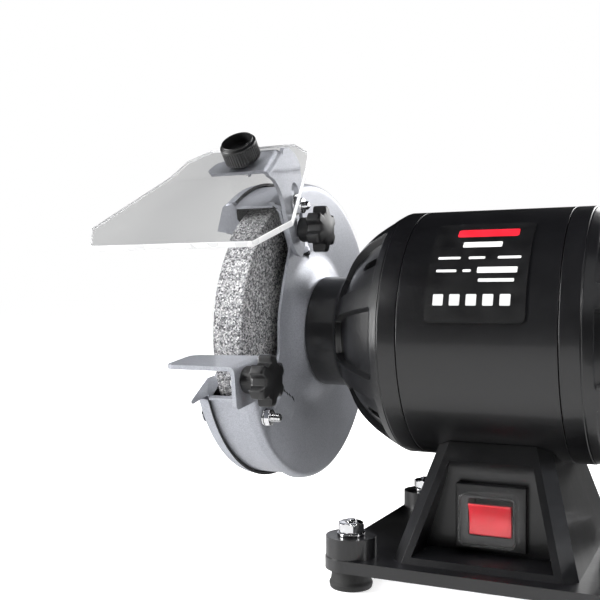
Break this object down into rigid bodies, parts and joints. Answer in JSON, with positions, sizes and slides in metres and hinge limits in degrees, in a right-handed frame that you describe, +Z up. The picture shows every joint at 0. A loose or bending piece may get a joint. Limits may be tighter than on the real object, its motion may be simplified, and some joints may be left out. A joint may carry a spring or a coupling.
{
  "type": "bench grinder",
  "caption": "Double-ended electric bench grinder on a cast pedestal, with wheel guards, clear eye shields, adjustable tool rests and a covered rocker switch.",
  "frame": {"origin": "centre of the box on the surface that the feet stand on", "axes": "+X along the spindle to the operator's right, -Y towards the operator, +Z up"},
  "size_m": [0.353, 0.2222, 0.232],
  "materials": {
    "black_gloss": "gloss black paint",
    "black_cast": "semi-gloss black paint on cast metal",
    "core_steel": "plain laminated steel",
    "copper": "enamelled copper wire",
    "black_plate": "satin black label",
    "bright_steel": "bright zinc or chrome plate",
    "abrasive": "coarse grey abrasive grain",
    "grey_paint": "fine metallic silver-grey paint",
    "black_plastic": "moulded black plastic",
    "clear_plastic": "clear polycarbonate with polished edges",
    "red_plastic": "glossy red",
    "foot_rubber": "black rubber"
  },
  "bodies": {
    "frame": {"stator_housing": "black_gloss", "stator_core": "core_steel", "stator_winding": "copper", "rating_plate": "black_plate", "end_bell_right": "black_cast", "end_bell_left": "black_cast", "bearing_right": "bright_steel", "bearing_left": "bright_steel", "guard_pan_right": "grey_paint", "guard_pan_left": "grey_paint", "guard_band_right": "grey_paint", "guard_band_left": "grey_paint", "outer_cover_right": "grey_paint", "outer_cover_left": "grey_paint", "cover_bolt_low_right": "bright_steel", "cover_bolt_low_left": "bright_steel", "cover_bolt_rear_right": "bright_steel", "cover_bolt_rear_left": "bright_steel", "rest_support_right": "grey_paint", "rest_support_left": "grey_paint", "bracket_bolt_right": "bright_steel", "bracket_bolt_left": "bright_steel", "bracket_stud_right": "bright_steel", "bracket_stud_left": "bright_steel", "pedestal": "black_cast", "base_plate": "bright_steel", "foot_front_left": "foot_rubber", "foot_front_right": "foot_rubber", "foot_rear_left": "foot_rubber", "foot_rear_right": "foot_rubber", "switch_bezel": "black_plastic", "switch_cap": "clear_plastic", "run_capacitor": "bright_steel", "cord_gland": "foot_rubber"},
    "spindle": {"spindle_shaft": "bright_steel", "rotor": "core_steel", "inner_flange_right": "bright_steel", "inner_flange_left": "bright_steel", "outer_flange_right": "bright_steel", "outer_flange_left": "bright_steel", "grinding_wheel_right": "abrasive", "grinding_wheel_left": "abrasive", "spindle_nut_right": "bright_steel", "spindle_nut_left": "bright_steel"},
    "rocker": {"switch_rocker": "red_plastic"},
    "rest_clamp_right": {"rest_bolt_right": "bright_steel"},
    "rest_plate_right": {"tool_rest_right": "grey_paint"},
    "rest_handle_right": {"rest_knob_right": "black_plastic"},
    "shield_arm_right": {"shield_bracket_right": "grey_paint"},
    "bracket_handle_right": {"bracket_knob_right": "black_plastic"},
    "shield_sheet_right": {"eye_shield_right": "clear_plastic"},
    "shield_handle_right": {"shield_knob_right": "black_plastic"},
    "rest_clamp_left": {"rest_bolt_left": "bright_steel"},
    "rest_plate_left": {"tool_rest_left": "grey_paint"},
    "rest_handle_left": {"rest_knob_left": "black_plastic"},
    "shield_arm_left": {"shield_bracket_left": "grey_paint"},
    "bracket_handle_left": {"bracket_knob_left": "black_plastic"},
    "shield_sheet_left": {"eye_shield_left": "clear_plastic"},
    "shield_handle_left": {"shield_knob_left": "black_plastic"}
  },
  "joints": [
    {"name": "spindle_spin", "type": "hinge", "parent": "frame", "child": "spindle", "pos_m": [0, 0.0261, 0.126], "axis": [1, 0, 0], "continuous": true},
    {"name": "switch_rocker_tilt", "type": "hinge", "parent": "frame", "child": "rocker", "pos_m": [0.0025, -0.01419, 0.03716], "axis": [1, 0, 0], "range_deg": [-18, 0]},
    {"name": "rest_tilt_right", "type": "hinge", "parent": "frame", "child": "rest_clamp_right", "pos_m": [0.107, -0.06989, 0.105], "axis": [1, 0, 0], "range_deg": [-4, 25]},
    {"name": "rest_slide_right", "type": "slide", "parent": "rest_clamp_right", "child": "rest_plate_right", "axis": [0, 0.9903, 0.1392], "range_m": [-0.0125, 0.0018]},
    {"name": "rest_knob_turn_right", "type": "hinge", "parent": "rest_clamp_right", "child": "rest_handle_right", "pos_m": [0.095, -0.06989, 0.105], "axis": [1, 0, 0], "range_deg": [0, 360]},
    {"name": "bracket_slide_right", "type": "slide", "parent": "frame", "child": "shield_arm_right", "axis": [0, 0, 1], "range_m": [-0.008, 0]},
    {"name": "bracket_knob_turn_right", "type": "hinge", "parent": "frame", "child": "bracket_handle_right", "pos_m": [0.095, -0.00691, 0.18203], "axis": [1, 0, 0], "range_deg": [0, 360]},
    {"name": "shield_swivel_right", "type": "hinge", "parent": "shield_arm_right", "child": "shield_sheet_right", "pos_m": [0.1215, -0.03903, 0.21573], "axis": [0, -0.6613, 0.7501], "range_deg": [-12, 12]},
    {"name": "shield_knob_turn_right", "type": "hinge", "parent": "shield_arm_right", "child": "shield_handle_right", "pos_m": [0.1215, -0.03903, 0.21573], "axis": [0, -0.6613, 0.7501], "range_deg": [0, 360]},
    {"name": "rest_tilt_left", "type": "hinge", "parent": "frame", "child": "rest_clamp_left", "pos_m": [-0.107, -0.06989, 0.105], "axis": [1, 0, 0], "range_deg": [-4, 25]},
    {"name": "rest_slide_left", "type": "slide", "parent": "rest_clamp_left", "child": "rest_plate_left", "axis": [0, 0.9903, 0.1392], "range_m": [-0.0125, 0.0018]},
    {"name": "rest_knob_turn_left", "type": "hinge", "parent": "rest_clamp_left", "child": "rest_handle_left", "pos_m": [-0.095, -0.06989, 0.105], "axis": [1, 0, 0], "range_deg": [0, 360]},
    {"name": "bracket_slide_left", "type": "slide", "parent": "frame", "child": "shield_arm_left", "axis": [0, 0, 1], "range_m": [-0.008, 0]},
    {"name": "bracket_knob_turn_left", "type": "hinge", "parent": "frame", "child": "bracket_handle_left", "pos_m": [-0.095, -0.00691, 0.18203], "axis": [1, 0, 0], "range_deg": [0, 360]},
    {"name": "shield_swivel_left", "type": "hinge", "parent": "shield_arm_left", "child": "shield_sheet_left", "pos_m": [-0.1215, -0.03903, 0.21573], "axis": [0, -0.6613, 0.7501], "range_deg": [-12, 12]},
    {"name": "shield_knob_turn_left", "type": "hinge", "parent": "shield_arm_left", "child": "shield_handle_left", "pos_m": [-0.1215, -0.03903, 0.21573], "axis": [0, -0.6613, 0.7501], "range_deg": [0, 360]}
  ]
}
